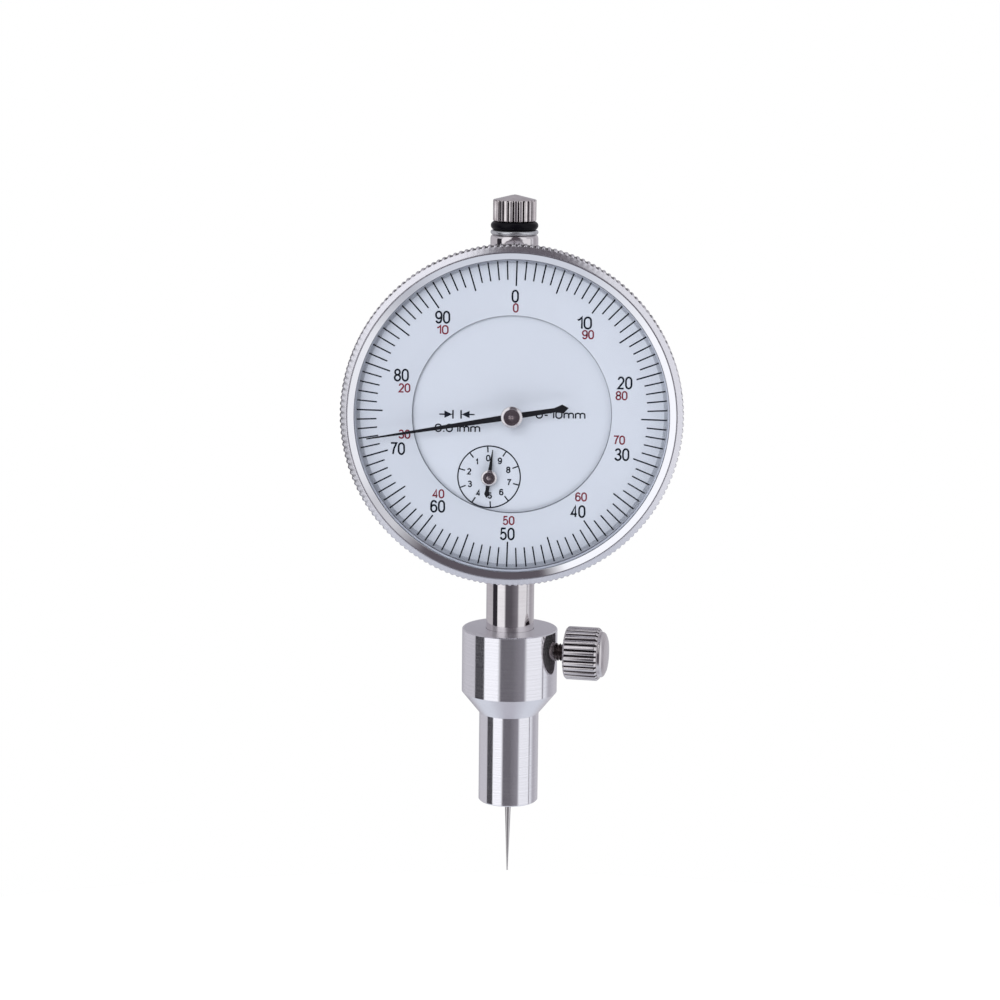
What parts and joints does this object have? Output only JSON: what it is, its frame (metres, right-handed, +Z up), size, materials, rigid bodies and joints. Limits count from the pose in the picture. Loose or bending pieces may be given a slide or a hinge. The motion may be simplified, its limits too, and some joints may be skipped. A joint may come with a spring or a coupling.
{
  "type": "dial indicator",
  "caption": "Plunger dial indicator with a turning knurled bezel, a domed window, a lifting cap, a clamp sleeve with a thumb screw, and a needle point.",
  "frame": {"origin": "on the plunger's axis, at the lower end face of the holder sleeve's nose", "axes": "+Z up along the plunger towards the lifting cap, -Y the way the dial faces, +X to the right as the dial is read"},
  "size_m": [0.0554, 0.0364, 0.1149],
  "materials": {
    "case_metal": "satin plated",
    "bezel_metal": "satin, polished inner lip",
    "clear_window": "clear, domed",
    "dial_paint": "satin pale blue grey",
    "plated_steel": "bright nickel plated",
    "steel": "ground",
    "turned_aluminium": "turned, fine rings",
    "bronze": "machined",
    "brass": "machined",
    "black_rubber": "matte",
    "black_paint": "matte"
  },
  "bodies": {
    "case_body": {"case": "case_metal", "back_cover": "case_metal", "back_cover_screws": "steel", "bezel_snap_ring": "steel", "inner_dial": "dial_paint", "stem": "plated_steel", "stem_bush_lower": "bronze", "stem_bush_upper": "bronze", "neck_bush": "plated_steel", "neck_washer": "plated_steel", "bumper_ring": "black_rubber", "guide_plate": "brass", "guide_plate_screws": "steel", "spring_post": "steel", "hairspring_stud": "brass", "bridge_plate": "brass", "bridge_pillars": "brass", "bridge_screws": "steel", "pinion_cock": "brass", "cock_pillars": "brass", "cock_screws": "steel", "front_bearings": "bronze", "bridge_bearings": "bronze", "cock_bearing": "bronze"},
    "bezel_body": {"bezel": "bezel_metal", "crystal": "clear_window", "dial_spacer_ring": "bezel_metal", "outer_dial_ring": "dial_paint"},
    "plunger_body": {"plunger": "steel", "guide_pin": "steel", "lifting_cap": "plated_steel", "needle_holder": "steel", "contact_needle": "steel", "return_spring": "steel"},
    "rack_arbor_body": {"rack_pinion": "steel", "rack_wheel": "brass", "small_pointer": "black_paint", "small_pointer_hub": "plated_steel"},
    "centre_arbor_body": {"centre_pinion": "steel", "main_pointer": "black_paint", "main_pointer_hub": "plated_steel"},
    "take_up_body": {"take_up_arbor": "steel", "take_up_wheel": "brass", "hairspring_collet": "brass", "hairspring": "bronze"},
    "holder_body": {"holder_sleeve": "turned_aluminium"},
    "thumb_stud_body": {"thumb_screw_stud": "plated_steel"},
    "thumb_head_body": {"thumb_screw_head": "plated_steel"}
  },
  "joints": [
    {"name": "bezel_turn", "type": "hinge", "parent": "case_body", "child": "bezel_body", "pos_m": [0, 0, 0.0674], "axis": [0, 1, 0], "continuous": true},
    {"name": "plunger_travel", "type": "slide", "parent": "case_body", "child": "plunger_body", "axis": [0, 0, 1], "range_m": [0, 0.0106], "stiffness_N_per_m": 60, "springref_m": -0.012, "deforming": ["return_spring"]},
    {"name": "rack_pinion_turn", "type": "hinge", "parent": "case_body", "child": "rack_arbor_body", "pos_m": [-0.0036, 0, 0.05707], "axis": [0, 1, 0], "range_deg": [-382, 0]},
    {"name": "main_pointer_turn", "type": "hinge", "parent": "case_body", "child": "centre_arbor_body", "pos_m": [0, 0, 0.0674], "axis": [0, 1, 0], "range_deg": [0, 3817]},
    {"name": "take_up_turn", "type": "hinge", "parent": "case_body", "child": "take_up_body", "pos_m": [0.01057, 0, 0.06457], "axis": [0, 1, 0], "range_deg": [-382, 0], "deforming": ["hairspring"]},
    {"name": "holder_slide", "type": "slide", "parent": "case_body", "child": "holder_body", "axis": [0, 0, 1], "range_m": [-0.0025, 0.009]},
    {"name": "thumb_screw_travel", "type": "slide", "parent": "holder_body", "child": "thumb_stud_body", "axis": [0.9816, -0.1908, 0], "range_m": [0, 0.002]},
    {"name": "thumb_screw_turn", "type": "hinge", "parent": "thumb_stud_body", "child": "thumb_head_body", "pos_m": [0, 0, 0.0261], "axis": [0.9816, -0.1908, 0], "range_deg": [0, 1446]}
  ],
  "couplings": [
    {"joint": "rack_pinion_turn", "follows": "plunger_travel", "rad_per_m": -628.32},
    {"joint": "main_pointer_turn", "follows": "plunger_travel", "rad_per_m": 6283.2},
    {"joint": "take_up_turn", "follows": "plunger_travel", "rad_per_m": -628.32},
    {"joint": "thumb_screw_turn", "follows": "thumb_screw_travel", "rad_per_m": 12566}
  ]
}
